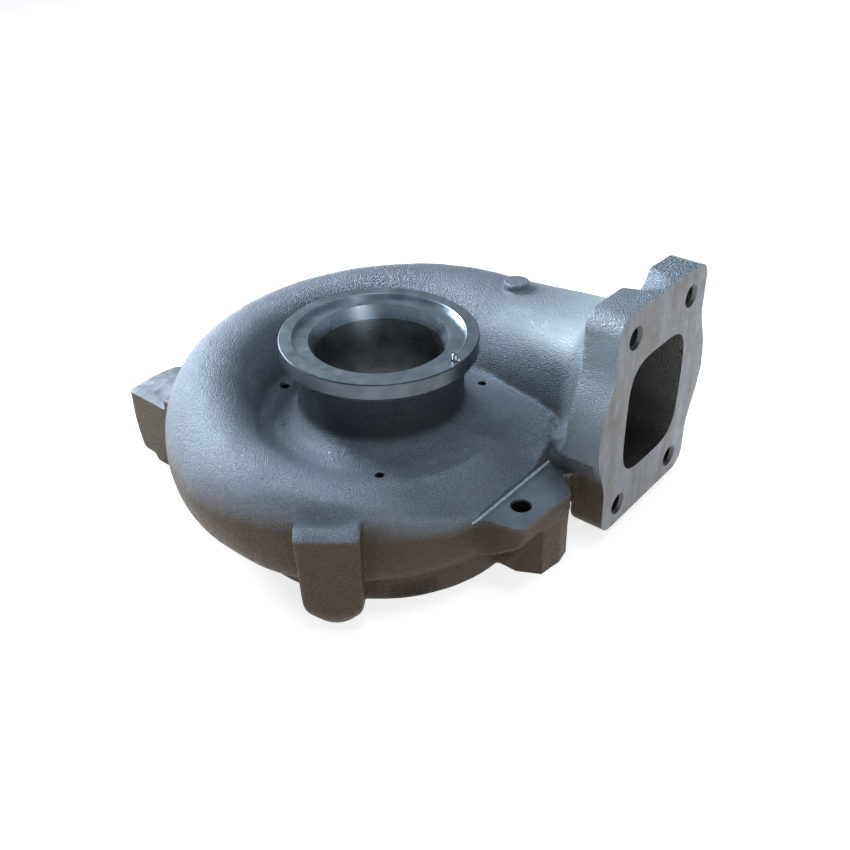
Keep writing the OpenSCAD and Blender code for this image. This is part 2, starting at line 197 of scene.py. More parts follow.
def scroll_distance(cut, last):
    """The scroll up to a turn, moved inwards by cut; only its outside leans and squares."""
    lean_turn, lean_over, lean_out, lean_down = 150, 60, 2.6, 1.4
    square, square_low, low_from, low_over = 1.2, 1.4, 262, 26
    r = np.sqrt(X * X + Y * Y)
    turn = np.degrees(np.arctan2(Y, X))
    turn = np.where((turn < 0) | ((X > 0) & (Y >= 0)), turn + 360, turn)
    held = np.clip(turn, TURN_START, last)
    share = (held - TURN_START) / (SCROLL_END - TURN_START)
    pinched = eased((held - PINCH_FROM) / PINCH_OVER)
    lean = eased(1 - np.abs(held - lean_turn) / lean_over) * (cut == 0)
    outer = SCROLL_R - SCROLL_FALL * (held - TURN_START) - PINCH * pinched - lean_out * lean
    crest = CREST_LOW + (CREST_HIGH - CREST_LOW) * (1 - share**CREST_BEND) - lean_down * lean
    half_r, half_z = (outer - SCROLL_IN) / 2, (crest - SCROLL_FLOOR) / 2
    upper, lower = square * pinched, square_low * eased((held - low_from) / low_over)
    power = 2 + np.where(Z > SCROLL_FLOOR + half_z, upper, lower) * (cut == 0)
    d = oval_distance(r - SCROLL_IN - half_r, Z - SCROLL_FLOOR - half_z,
                      np.maximum(half_r - cut, 2), np.maximum(half_z - cut, 2), power)
    beyond = r * np.sin(np.radians(np.clip(turn - last, 0, 90)))
    return np.where(turn > last, np.sqrt(np.maximum(d, 0) ** 2 + beyond**2), d)


def duct_distance(cut, flare):
    """The inlet duct, from the scroll's round section to the flange's rounded rectangle."""
    s = np.clip(X / INLET_BACK, 0, 1)
    e = eased(s)
    ring = (SCROLL_R - SCROLL_IN) / 2
    rise = (CREST_HIGH - SCROLL_FLOOR) / 2
    half_y = ring + (PORT_W / 2 + WALL - ring) * e
    half_z = rise + (PORT_H / 2 + WALL - rise) * e
    mid_y = SCROLL_IN + ring + (INLET_Y - SCROLL_IN - ring) * e
    mid_z = SCROLL_FLOOR + rise + (INLET_Z - SCROLL_FLOOR - rise) * e
    grow = flare * s**FLARE_POWER - cut
    power = 2 + (PORT_POWER - 2) * e
    d = oval_distance(Y - mid_y, Z - mid_z, half_y + grow, half_z + grow, power)
    return np.where(X >= 0, d, FAR)


def core_distance():
    """Ring of the bearing side and hub, turned in one profile."""
    bevel, step = 8, 3
    return revolved(
        [(0, -UNDER_STOCK), (RING_R - bevel, -UNDER_STOCK), (RING_R, bevel - UNDER_STOCK),
         (RING_R, RING_H - step), (CORE_R, RING_H), (CORE_R, CORE_Z)]
        + arc(HUB_R - HUB_ROUND, HUB_Z - HUB_ROUND, HUB_ROUND, 40, 90, 4)
        + [(0, HUB_Z)])


def neck_distance():
    """Neck of the outlet, from inside the hub to inside the clamp flange."""
    root, top = HUB_Z - 20, CLAMP_FOOT + 2
    return revolved(
        [(0, root), (NECK_R + NECK_FILLET, root)]
        + arc(NECK_R + NECK_FILLET, HUB_Z + NECK_FILLET, NECK_FILLET, 270, 180, 10)
        + [(NECK_R, top), (0, top)])


def crease_fillet():
    """Radius of the fillet between hub and scroll, widest in front and small below."""
    least, least_soft, most_soft = 3.0, 2.5, 5.5
    front, reach, wide_share = 288, 38, 1.6
    base, rise = 22, 14
    turn = np.degrees(np.arctan2(Y, X)) % 360
    soft = least_soft + most_soft * eased(wide_share - np.abs(turn - front) / reach)
    return least + soft * np.clip((Z - base) / rise, 0, 1)


def web_distance():
    """Web between hub, duct and inlet flange, that dips to the drilled pad's shoulder."""
    start, dip_from, low, into, above = 30, 64, 42, 4, 4
    fill, fill_from, fill_over = 0.75, 24, 30
    shoulder = PAD_BACK + 0.5
    plan = [(start, 0), (PAD_IN, 0), (PAD_IN, shoulder), (INLET_BACK + 2, shoulder),
            (INLET_BACK + 2, INLET_Y - PORT_W / 2), (start, SCROLL_IN + 14)]
    side = [(start, low), (start, HUB_Z), (dip_from, HUB_Z), (PAD_IN, PAD_Z + above),
            (INLET_BACK, HUB_Z - 2), (INLET_BACK + into, HUB_Z - 2), (INLET_BACK + into, low)]
    dip = np.interp(AXES[0], [dip_from, PAD_IN, INLET_BACK], [0, HUB_Z - PAD_Z - above, 2])
    filled = fill * eased((Y - fill_from) / fill_over)
    top = outline_distance(side, X, Z - dip[:, None, None] * filled)
    return carved(flat_outline(plan) + 0 * Z, -top, 1.5)


def flange_fillet():
    """Rough cast fillet that rises from the web's dip to the back of the inlet flange."""
    slope = -0.639 * (X - 84.6) - 0.590 * (Y - 48.9) + 0.493 * (Z - 55.0)
    plan = np.maximum(np.abs(X - 90.5) - 12.5, np.abs(Y - 54) - 13.5)
    return np.maximum(slope, np.maximum(plan, np.abs(Z - 60) - 20))


def inlet_plate():
    """The inlet flange with its side swellings, its scooped top edge and a nib on one side."""
    swell_share, edge = 0.62, 1.8
    scoop_r, scoop_tilt, scoop_over = 16, math.radians(32), 6
    nib_half, nib_high = 1.5, 3
    corner = INLET_CORNER
    w, h = INLET_W / 2 - corner, INLET_H / 2 - corner
    plate = met(np.abs(Y - INLET_Y) - w, np.abs(Z - PLATE_MID) - h) - corner
    swell = np.sqrt((Y - INLET_Y) ** 2 + (Z - INLET_Z) ** 2) - SWELL_R
    swell = np.maximum(swell, np.abs(Z - INLET_Z) - swell_share * SWELL_R)
    d = extruded(joined(plate, swell, 6.0), X, INLET_BACK, INLET_X + FACE_STOCK, edge)
    dx, dz = X - INLET_BACK + 1, Z - PLATE_TOP - scoop_over
    across = dz * math.cos(scoop_tilt) - dx * math.sin(scoop_tilt)
    d = carved(d, np.sqrt((Y - INLET_Y - 3) ** 2 + across**2) - scoop_r, 2.0)
    nib = np.maximum(np.abs(Y - INLET_Y - SWELL_R + 1) - nib_half, np.abs(Z - INLET_Z + 3) - nib_high)
    return joined(d, extruded(nib, X, INLET_BACK + 6, INLET_X + FACE_STOCK, 0.8), 1.5)


def corner_rib():
    """Rib in the corner below the web, between the drilled pad and the inlet flange."""
    rib = np.maximum(np.abs(X - 94) - 10, np.abs(Y - 53) - 13)
    return extruded(rib, Z, RING_H + 1, PAD_Z - 1, 1.5)


def boss_distance(turn, skew=0.0):
    """A bolt boss with a conical foot; skew turns it about the middle of its outer face."""
    root, top, slope, slope_in = RING_R - 16, BOSS_FACE_H + 6, 1.5, 5
    draft_left, draft_right, edge = 3.5, 1.2, 2.6
    foot_in, foot_r, foot_rise, foot_run = 20, 14, 12, 14
    reach, middle = 40, 95
    a = math.radians(skew)
    far, side = local_plane(turn)
    far = far - BOSS_OUT
    out, side = (far * math.cos(a) + side * math.sin(a) + BOSS_OUT,
                 side * math.cos(a) - far * math.sin(a))
    profile = [(root, -UNDER_STOCK), (BOSS_OUT, -UNDER_STOCK), (BOSS_OUT, BOSS_FACE_H + slope),
               (BOSS_OUT - slope_in, top), (root, top)]
    draft = np.where(side < 0, draft_left, draft_right) * np.clip(Z / top, 0, 1)
    d = met(swept(profile, out, 40, 140), np.abs(side) - BOSS_W / 2 - draft, edge)
    foot = np.sqrt((out - BOSS_OUT + foot_in) ** 2 + side**2)
    foot = foot - foot_r - np.maximum(Z, 0) * foot_rise / foot_run
    d = carved(d, -0.76 * foot, 4.0)
    close = (np.abs(out - middle) < reach) & (np.abs(side) < reach)
    return np.where(close, d, FAR)


def pad_foot():
    """Foot under the drilled pad, in the place of the first boss."""
    root, front, back = 70, -2, 37
    outline = [(root, front), (PAD_HOLE_X, front), (PAD_OUT, 5), (PAD_OUT + 2, 20),
               (PAD_OUT, 31), (PAD_OUT - 12, back), (root, back)]
    return extruded(flat_outline(outline), Z, -UNDER_STOCK, PAD_Z - PAD_THICK, 2.5)


def right_pad_distance():
    """Drilled pad, with the casting that slants back below it."""
    root, deep, high, corner, slant = 30, 50, 70, 5, 16
    outline = ([(root, -PAD_FRONT), (PAD_IN, -PAD_FRONT)]
               + arc(PAD_OUT - corner, 9 - PAD_FRONT, corner, -80, 0, 4)
               + [(PAD_OUT + 2, PAD_BACK - slant), (PAD_IN + 5, PAD_BACK), (root, PAD_BACK)])
    d = extruded(flat_outline(outline), Z, -deep, PAD_Z + 2.2, 1.2)
    below = [(root, high), (root, 10), (PAD_IN, 20), (PAD_IN + 8, 22),
             (PAD_OUT + 4, PAD_Z - PAD_THICK), (PAD_OUT + 4, high)]
    return carved(d, -outline_distance(below, X, Z), 2.5)


def left_ear_distance():
    """Tall ear, with a bowed outer edge, a slanted lower corner and a stepped foot."""
    root, blunt, bow_share, high = 90, 4, 0.45, 120
    outline = ([(-root, -EAR_FRONT)]
               + arc(-EAR_OUT + 6, -EAR_FRONT + blunt, blunt, 270, 200, 4)
               + [(-EAR_OUT - 0.3, -EAR_FRONT + bow_share * EAR_LEN), (-EAR_OUT + 2, EAR_BACK - 13),
                  (-EAR_OUT + 16, EAR_BACK), (-root, EAR_BACK)])
    d = extruded(flat_outline(outline), Z, -UNDER_STOCK, PAD_Z + EAR_STEP, 2.0)
    side = [(-60, -UNDER_STOCK), (-147, -UNDER_STOCK), (-152, 3.0), (-160, 3.5), (-163, 6.0),
            (-EAR_OUT - 0.5, PAD_Z - 5), (-EAR_OUT - 1, 60), (-EAR_OUT - 1, high), (-60, high)]
    return carved(d, -outline_distance(side, X, Z), 2.0)


def crest_boss():
    """Low round boss on the duct's crest."""
    x, y, r, up = 19, INLET_Y + 8.5, 8.4, 5.0
    plan = np.sqrt((X - x) ** 2 + (Y - y) ** 2) - r
    return extruded(plan, Z, 90.0, CREST_HIGH + up, 0.8)


def ring_pocket():
    """Pocket in the ring of the bearing side, between two bosses."""
    turn, half_w, z, half_h, deep = -39, 12, 7.75, 4.25, 2
    out, side = local_plane(turn)
    face = np.maximum(np.abs(side) - half_w, np.abs(Z - z) - half_h)
    return np.maximum(face, RING_R - deep - out)


def cast_body():
    """Distance field of the rough casting, with its fillets, before any machining."""
    body = joined(core_distance(), neck_distance(), 3.0)
    run = np.minimum(scroll_distance(0.0, SCROLL_END), duct_distance(0.0, DUCT_FLARE))
    body = joined(body, np.where(X > INLET_BACK + 4, FAR, run), crease_fillet())
    body = joined(joined(body, web_distance(), 3.0), flange_fillet(), 2.0)
    body = joined(body, inlet_plate(), 5.0)
    body = joined(body, corner_rib(), 4.0)
    for i in range(1, BOSS_N):
        skew = 11.0 if i == 1 else 0.0
        body = joined(body, boss_distance(BOSS_TURN - i * 360 / BOSS_N, skew), 2.5)
    body = joined(body, pad_foot(), 3.0)
    body = joined(body, right_pad_distance(), 4.0)
    body = joined(body, left_ear_distance(), 5.0)
    body = joined(body, crest_boss(), 1.2)
    return carved(body, ring_pocket(), 1.2)


def gas_space():
    """Distance field of the gas passage and the gap that feeds the wheel."""
    run = np.minimum(scroll_distance(WALL, SCROLL_END - GAS_BACK_OFF), duct_distance(WALL, 0.0))
    gap = revolved([(0, NOZZLE_Z), (NOZZLE_R, NOZZLE_Z), (NOZZLE_R, THROAT_Z), (0, THROAT_Z)])
    return joined(run, gap, 3.0)


def unevenness(seed, spacing, amount):
    """Smooth random waves over the grid, the same at each run."""
    weights = []
    for axis in AXES:
        place = (axis - axis[0]) / spacing
        i = place.astype(int)
        t = eased(place - i)
        w = np.zeros((len(axis), i[-1] + 2), np.float32)
        w[np.arange(len(axis)), i] = 1 - t
        w[np.arange(len(axis)), i + 1] += t
        weights.append(w)
    lattice = np.random.default_rng(seed).uniform(-1, 1, [w.shape[1] for w in weights])
    lattice = lattice.astype(np.float32)
    for axis, w in enumerate(weights):
        lattice = np.moveaxis(np.tensordot(w, lattice, axes=(1, axis)), 0, axis)
    return lattice * amount


def linked(name, mesh):
    """New object of a mesh, in the scene."""
    piece = bpy.data.objects.new(name, mesh)
    bpy.context.scene.collection.objects.link(piece)
    return piece


def turn_outwards(piece):
    """Turns all faces so that they look out of the closed piece."""
    work = bmesh.new()
    work.from_mesh(piece.data)
    if work.calc_volume(signed=True) < 0:
        bmesh.ops.reverse_faces(work, faces=work.faces)
    work.to_mesh(piece.data)
    work.free()
    return piece


def mesh_object(name, points, faces):
    """New closed object from points in millimetres."""
    mesh = bpy.data.meshes.new(name)
    mesh.from_pydata([tuple(p * MM for p in q) for q in points], [], faces)
    mesh.validate()
    return turn_outwards(linked(name, mesh))


def field_object(name, field):
    """The surface where a distance field is zero, as an object."""
    grid = vdb.FloatGrid()
    grid.copyFromArray(np.ascontiguousarray(field, dtype=np.float32))
    points, _, quads = grid.convertToPolygons(0.0, 0.0)
    points = (points * STEP + LOW) * MM
    mesh = bpy.data.meshes.new(name)
    mesh.vertices.add(len(points))
    mesh.vertices.foreach_set("co", points.astype(np.float32).ravel())
    mesh.loops.add(quads.size)
    mesh.loops.foreach_set("vertex_index", quads.astype(np.int32).ravel())
    mesh.polygons.add(len(quads))
    mesh.polygons.foreach_set("loop_start", np.arange(0, quads.size, 4, dtype=np.int32))
    mesh.update(calc_edges=True)
    return turn_outwards(linked(name, mesh))


def settle(piece):
    """Applies the piece's modifiers."""
    depsgraph = bpy.context.evaluated_depsgraph_get()
    made = bpy.data.meshes.new_from_object(piece.evaluated_get(depsgraph))
    piece.modifiers.clear()
    old = piece.data
    piece.data = made
    bpy.data.meshes.remove(old)


def combine(piece, other, operation):
    """Exact union or difference of two closed pieces; the second one is used up."""
    step = piece.modifiers.new("step", "BOOLEAN")
    step.operation = operation
    step.solver = "MANIFOLD"
    step.object = other
    piece.data.materials.clear()
    bpy.context.view_layer.update()
    settle(piece)
    bpy.data.objects.remove(other)


def turned_solid(name, profile, sides=128, place=(0, 0, 0), axis=(0, 0, 1)):
    """Closed turned solid of a profile of r, h points whose two ends lie on the axis."""
    rim = profile[1:-1]
    points = [(0, 0, profile[0][1]), (0, 0, profile[-1][1])]
    for r, h in rim:
        for k in range(sides):
            a = 2 * math.pi * k / sides
            points.append((r * math.cos(a), r * math.sin(a), h))
    faces = []
    last = 2 + (len(rim) - 1) * sides
    for k in range(sides):
        n = (k + 1) % sides
        faces.append((0, 2 + n, 2 + k))
        faces.append((1, last + k, last + n))
        for i in range(len(rim) - 1):
            a, b = 2 + i * sides, 2 + (i + 1) * sides
            faces.append((a + k, a + n, b + n, b + k))
    turn = Vector(axis).to_track_quat("Z", "Y").to_matrix()
    return mesh_object(name, [turn @ Vector(p) + Vector(place) for p in points], faces)


def block(name, low, high):
    """Box between two corners."""
    corners = [(x, y, z) for x in (low[0], high[0]) for y in (low[1], high[1]) for z in (low[2], high[2])]
    faces = [(0, 1, 3, 2), (4, 6, 7, 5), (0, 4, 5, 1), (2, 3, 7, 6), (0, 2, 6, 4), (1, 5, 7, 3)]
    return mesh_object(name, corners, faces)


def shoulder_cutter(name, wall, reach, front, back, top):
    """Cutter of a milled pad, whose foot leaves a small fillet along the shoulder."""
    r, way = SHOULDER_FILLET, 1 if reach > wall else -1
    profile = [(wall, top), (wall, PAD_Z + r)]
    profile += [(wall + way * r * (1 - math.cos(a)), PAD_Z + r * (1 - math.sin(a)))
                for a in (math.pi / 8, math.pi / 4, 3 * math.pi / 8)]
    profile += [(wall + way * r, PAD_Z), (reach, PAD_Z), (reach, top)]
    n = len(profile)
    points = [(x, y, z) for y in (front, back) for x, z in profile]
    faces = [tuple(range(n)), tuple(range(2 * n - 1, n - 1, -1))]
    faces += [(i, i + n, (i + 1) % n + n, (i + 1) % n) for i in range(n)]
    return mesh_object(name, points, faces)


def gathered(name, pieces):
    """One object of several pieces that don't touch."""
    work = bmesh.new()
    for piece in pieces:
        work.from_mesh(piece.data)
        bpy.data.objects.remove(piece)
    mesh = bpy.data.meshes.new(name)
    work.to_mesh(mesh)
    work.free()
    return linked(name, mesh)


def drilled(name, r, deep, place, axis, mouth=0.4):
    """Cutter of a drilled hole with a broken edge at its mouth and a drill point."""
    return turned_solid(
        name, [(0, -deep - 0.3 * r), (r, -deep), (r, -mouth), (r + mouth, 0), (r + mouth, 2), (0, 2)],
        40, place, axis)


def clamp_flange():
    """Turned clamp flange, with its taper below and small edge breaks."""
    edge, blunt, root = 0.6, 0.3, 3
    fall = (CLAMP_R - NECK_R) / CLAMP_TAPER
    return turned_solid("clamp", [
        (0, CLAMP_FOOT - root), (NECK_R - root * fall, CLAMP_FOOT - root),
        (CLAMP_R - blunt, HOUSING_H - CLAMP_EDGE - blunt), (CLAMP_R, HOUSING_H - CLAMP_EDGE + blunt),
        (CLAMP_R, HOUSING_H - edge), (CLAMP_R - edge, HOUSING_H), (0, HOUSING_H)], 192)


def axis_bores():
    """Cutter of all bores on the axis, from the bearing side to the outlet recess."""
    mouth, past, rise = 3, 2, 1.5
    curve = WHEEL_R - BORE_R
    throat = [(WHEEL_R - curve * (1 - math.cos(a)), THROAT_Z + rise * curve * math.sin(a))
              for a in np.linspace(math.pi / 24, math.pi / 2, 12)]
    return turned_solid("bores", [
        (0, -past), (REGISTER_R + mouth, -past), (REGISTER_R, mouth - past),
        (REGISTER_R, REGISTER_DEEP), (SHIELD_R, REGISTER_DEEP), (SHIELD_R, SHIELD_Z),
        (WHEEL_R, SHIELD_Z), (WHEEL_R, THROAT_Z)]
        + throat + [(BORE_R, RECESS_Z - MOUTH_DEEP), (MOUTH_R, RECESS_Z), (RECESS_R, RECESS_Z),
                    (RECESS_R, HOUSING_H - 0.4), (RECESS_R + 1.4, HOUSING_H + 1), (0, HOUSING_H + 1)],
        192)


def machining_planes():
    """Cutters that face the bearing side and the inlet flange, and mill the pad and the ear."""
    around, beyond, high = 140, 200, 160
    return gathered("planes", [
        block("under", (-beyond, -around, -20), (INLET_X - 5, around, 0)),
        block("face", (INLET_X, 20, -UNDER_STOCK), (around, beyond, high)),
        shoulder_cutter("pad", PAD_IN, 119, -PAD_FRONT - PAD_SPARE, PAD_BACK, PAD_Z + 12),
        shoulder_cutter("ear", -EAR_IN, -EAR_OUT - 6, -EAR_FRONT - EAR_SPARE,
                        EAR_BACK + EAR_SPARE, 70),
    ])


def stud_places():
    """Middles of the inlet flange's four holes, in y and z."""
    return [(INLET_Y + y * STUD_W / 2, INLET_Z + z * STUD_H / 2) for y in (-1, 1) for z in (-1, 1)]


def boss_turns():
    return [BOSS_TURN - i * 360 / BOSS_N for i in range(BOSS_N)]


def drilling():
    """Cutters of all bores and holes."""
    deep, sink, past = INLET_T + 6, (STUD_SINK_D - STUD_D) / 2, 2
    holes = [axis_bores()]
    for y, z in stud_places():
        holes.append(turned_solid(
            "stud", [(0, -deep), (STUD_D / 2, -deep), (STUD_D / 2, -sink),
                     (STUD_SINK_D / 2, 0), (STUD_SINK_D / 2, past), (0, past)], 48,
            (INLET_X, y, z), (1, 0, 0)))
    for turn in boss_turns():
        holes.append(drilled("bolt", BOSS_HOLE_D / 2, BOSS_HOLE_DEEP,
                             polar(BOSS_HOLE_AT, turn, 0), (0, 0, -1)))
    for turn in HUB_HOLE_TURNS:
        holes.append(drilled("hub", HUB_HOLE_D / 2, HUB_HOLE_DEEP,
                             polar(HUB_HOLE_AT, turn, HUB_Z + 0.4), (0, 0, 1), 0.7))
    holes.append(drilled("pad", PAD_HOLE_D / 2, PAD_HOLE_DEEP, (PAD_HOLE_X, PAD_HOLE_Y, PAD_Z),
                         (0, 0, 1), 0.8))
    holes.append(drilled("pin", PIN_D / 2 + PIN_CLEAR, PIN_DEEP,
                         polar(PIN_AT, PIN_TURN, HOUSING_H), (0, 0, 1), 0.9))
    return gathered("holes", holes)


def housing():
    """The machined casting, as one closed skin."""
    shrink = 0.3
    body = cast_body() + shrink + unevenness(11, 24.0, 0.25) + unevenness(12, 7.0, 0.1)
    piece = field_object("turbine_housing_skin", carved(body, gas_space(), 1.5))
    thin = piece.modifiers.new("thin", "DECIMATE")
    thin.ratio = MOST_FACES / (2 * len(piece.data.polygons))
    settle(piece)
    combine(piece, clamp_flange(), "UNION")
    combine(piece, machining_planes(), "DIFFERENCE")
    combine(piece, drilling(), "DIFFERENCE")
    return piece


# Materials, all worked out from the place on the part, in metres
CAST, TURNED, BORE, MILLED, FACE, DRILLED, CORED, SHADED_EDGE, PAINTED_GLINT = range(9)

# Middles of the two spots of rough casting skin
ROUGH_WEB = (0.063, 0.019, 0.072)
ROUGH_FILLET = (0.087, 0.053, 0.062)


def material(name):
    made = bpy.data.materials.new(name)
    made.use_nodes = True
    tree = made.node_tree
    return made, tree.nodes["Principled BSDF"], tree


def feed(tree, socket, value):
    """Links another node's output to a socket, or sets its value or its colour."""
    if isinstance(value, bpy.types.NodeSocket):
        tree.links.new(value, socket)
    elif socket.type == "RGBA":
        socket.default_value = (*value, 1)
    else:
        socket.default_value = value


def add(tree, kind, inputs=(), **settings):
    """Adds a node, sets its settings, and feeds its inputs."""
    node = tree.nodes.new(kind)
    for key, value in settings.items():
        setattr(node, key, value)
    for key, value in dict(inputs).items():
        feed(tree, node.inputs[key], value)
    return node


def place_of(tree):
    return add(tree, "ShaderNodeTexCoord").outputs["Object"]


def parts_of(tree, vector):
    return add(tree, "ShaderNodeSeparateXYZ", {"Vector": vector}).outputs


def vector_worked(tree, operation, a, b=(0, 0, 0)):
    """A sum, difference, product, length or distance of vectors."""
    outputs = add(tree, "ShaderNodeVectorMath", {0: a, 1: b}, operation=operation).outputs
    return outputs["Value" if operation in ("LENGTH", "DISTANCE") else "Vector"]


def worked(tree, operation, *values):
    node = add(tree, "ShaderNodeMath", dict(enumerate(values)), operation=operation)
    return node.outputs[0]


def mixed(tree, factor, a, b):
    """Mix of two colours, whose sockets on this node are numbers 6 and 7."""
    return add(tree, "ShaderNodeMix", data_type="RGBA", inputs={0: factor, 6: a, 7: b}).outputs[2]


def spread(tree, value, a, b, low=0.0, high=1.0):
    """Maps a value from the range a to b onto low to high."""
    return add(tree, "ShaderNodeMapRange", {
        "Value": value, "From Min": a, "From Max": b, "To Min": low, "To Max": high}).outputs["Result"]


def grain(tree, place, scale, detail=2.0, rough=0.5, contrast=None):
    """Noise, whose contrast gives the range that is used and what it is mapped onto."""
    fac = add(tree, "ShaderNodeTexNoise", {
        "Vector": place, "Scale": scale, "Detail": detail, "Roughness": rough}).outputs["Fac"]
    return spread(tree, fac, *contrast) if contrast else fac


def bumped(tree, height, strength, distance, base=None):
    inputs = {"Height": height, "Strength": strength, "Distance": distance}
    if base is not None:
        inputs["Normal"] = base
    return add(tree, "ShaderNodeBump", inputs).outputs["Normal"]


def near(tree, place, point, inner, outer):
    """1 within the inner distance of a point, falling to 0 at the outer."""
    return spread(tree, vector_worked(tree, "DISTANCE", place, point), inner, outer, 1, 0)


def flange_share(tree, at):
    """1 on the inlet flange and its foot fillet."""
    return worked(tree, "MULTIPLY", spread(tree, at["X"], 0.082, 0.090),
                  spread(tree, at["Z"], 0.042, 0.060))


def painted_shade_share(tree, place, at):
    """Share of painted shade, dark and brown: where the skin doesn't look up, round the neck, and all
    round below.
    """
    facing = parts_of(tree, add(tree, "ShaderNodeTexCoord").outputs["Normal"])["Z"]
    r = vector_worked(tree, "LENGTH", vector_worked(tree, "MULTIPLY", place, (1, 1, 0)))
    # Painted shade round the neck, under the clamp flange.
    neck = worked(tree, "MULTIPLY", spread(tree, r, 0.055, 0.066, 1, 0),
                  spread(tree, at["Z"], 0.070, 0.080))
    region = worked(tree, "MAXIMUM", spread(tree, at["Z"], 0.058, 0.086, 1, 0.4), neck)
    region = worked(tree, "MULTIPLY", region, spread(tree, flange_share(tree, at), 0, 1, 1, 0.15))
    turned_down = worked(tree, "MULTIPLY", spread(tree, facing, 0.62, 0.05, 0, 0.95), region)
    return worked(tree, "MAXIMUM", turned_down, spread(tree, at["Z"], 0.036, 0.042, 0.85, 0))


def painted_highlight_share(tree, at):
    """How far a painted highlight lifts the skin: on the duct's top by the flange, and on the flange."""
    duct = worked(tree, "MULTIPLY", spread(tree, at["X"], 0.010, 0.080),
                  spread(tree, at["X"], 0.084, 0.092, 1, 0))
    duct = worked(tree, "MULTIPLY", duct, spread(tree, at["Z"], 0.096, 0.116))
    return worked(tree, "MAXIMUM", duct, spread(tree, flange_share(tree, at), 0, 1, 0, 0.22))


def cast_normal(tree, place, fine):
    """Peened skin with fine grain, and two scabby spots."""
    peen = bumped(tree, grain(tree, place, 1150, 1.0, 0.5), 1.0, 0.0016)
    spots = worked(tree, "MAXIMUM", near(tree, place, ROUGH_WEB, 0.005, 0.011),
                   near(tree, place, ROUGH_FILLET, 0.007, 0.013))
    scabs = worked(tree, "MULTIPLY", spots, grain(tree, place, 420, 3.0, 0.7, (0.35, 0.65, 0.0, 1.0)))
    return bumped(tree, fine, 0.8, 0.0005, bumped(tree, scabs, 1.0, 0.0035, peen))


def cast_material(name, dark, light, side):
    """Shot blasted casting: fine peened grain; painted shade, darker and browner, where it doesn't face
    up.
    """
    made, shader, tree = material(name)
    place = place_of(tree)
    at = parts_of(tree, place)
    fine = grain(tree, place, 2100, 1.0, 0.5, (0.30, 0.70, 0.0, 1.0))
    broad = grain(tree, place, 30, 3.0, 0.55, (0.35, 0.65, 0.0, 1.0))
    shade = worked(tree, "MULTIPLY_ADD", fine, 0.75, worked(tree, "MULTIPLY_ADD", broad, 0.12, 0.10))
    # Painted highlight: a paler copy of the light tone, for the duct's top and the inlet flange.
    painted_highlight = tuple(min(1.65 * v, 0.95) for v in light)
    # Painted shade: side is its colour, dark and brown, and it turns bluer higher up.
    bluer_painted_shade = (0.52 * side[0], 0.90 * side[1], 1.7 * side[2])
    tone = mixed(tree, painted_highlight_share(tree, at), mixed(tree, shade, dark, light), painted_highlight)
    painted_shade_tone = mixed(tree, spread(tree, at["Z"], 0.066, 0.084), side, bluer_painted_shade)
    feed(tree, shader.inputs["Base Color"], mixed(tree, painted_shade_share(tree, place, at), tone, painted_shade_tone))
    feed(tree, shader.inputs["Metallic"], 0.85)
    feed(tree, shader.inputs["Roughness"], grain(tree, place, 480, 2.0, 0.5, (0.3, 0.7, 0.34, 0.54)))
    feed(tree, shader.inputs["Normal"], cast_normal(tree, place, fine))
    return made


def tool_marks(tree, place, centre, mask, marks):
    """Rings of uneven width round a centre, as a turning or milling tool leaves them."""
    flat = vector_worked(tree, "MULTIPLY", vector_worked(tree, "SUBTRACT", place, centre), mask)
    along = worked(tree, "MULTIPLY", parts_of(tree, place)["Z"], mask[0])
    spot = add(tree, "ShaderNodeCombineXYZ", {"X": vector_worked(tree, "LENGTH", flat), "Y": along})
    return grain(tree, spot.outputs[0], marks, 3.0, 0.65)


def machined(made, shader, tree, colours, metallic, roughness, normal):
    """Feeds the shader of a machined face, whose colour varies between two."""
    feed(tree, shader.inputs["Base Color"], mixed(tree, *colours))
    feed(tree, shader.inputs["Metallic"], metallic)
    feed(tree, shader.inputs["Roughness"], roughness)
    feed(tree, shader.inputs["Normal"], normal)
    return made


def turned_material(name, colour, rough, marks=700.0, strength=0.5):
    """Turned face: fine rings round the axis."""
    made, shader, tree = material(name)
    place = place_of(tree)
    rings = tool_marks(tree, place, (0, 0, 0), (1, 1, 0), marks)
    broad = grain(tree, place, 60, 3.0, 0.6, (0.35, 0.65, 0.0, 1.0))
    low = tuple(0.72 * c for c in colour)
    roughness = grain(tree, place, 140, 3.0, 0.6, (0.3, 0.7, rough, rough + 0.14))
    return machined(made, shader, tree, (broad, low, colour), 0.95, roughness,
                    bumped(tree, rings, strength, 0.0002))


def milled_material(name, colour, rough, centre=(0.13, 0.03, 0.0), mask=(1, 1, 0), low=None,
                    stretch=(1, 1, 1)):
    """Milled face: arcs of the cutter round a centre, with streaks drawn out by stretch."""
    made, shader, tree = material(name)
    place = place_of(tree)
    arcs = tool_marks(tree, place, centre, mask, 600.0)
    drawn = vector_worked(tree, "MULTIPLY", place, stretch)
    streaks = grain(tree, drawn, 45, 3.0, 0.6, (0.35, 0.65, 0.0, 1.0))
    low = low or tuple(0.68 * c for c in colour)
    roughness = grain(tree, place, 160, 3.0, 0.6, (0.3, 0.7, rough, rough + 0.16))
    return machined(made, shader, tree, (streaks, low, colour), 0.9, roughness,
                    bumped(tree, arcs, 0.6, 0.00022))


def painted_glint_material():
    """Painted glint: a pale foot fillet of a milled shoulder."""
    made, shader, tree = material("painted_glint_iron")
    streaks = grain(tree, place_of(tree), 300, 3.0, 0.6, (0.3, 0.7, 0.0, 1.0))
    feed(tree, shader.inputs["Base Color"], mixed(tree, streaks, (0.50, 0.58, 0.66), (0.85, 0.93, 1.0)))
    feed(tree, shader.inputs["Metallic"], 0.3)
    feed(tree, shader.inputs["Roughness"], spread(tree, streaks, 0, 1, 0.3, 0.45))
    return made


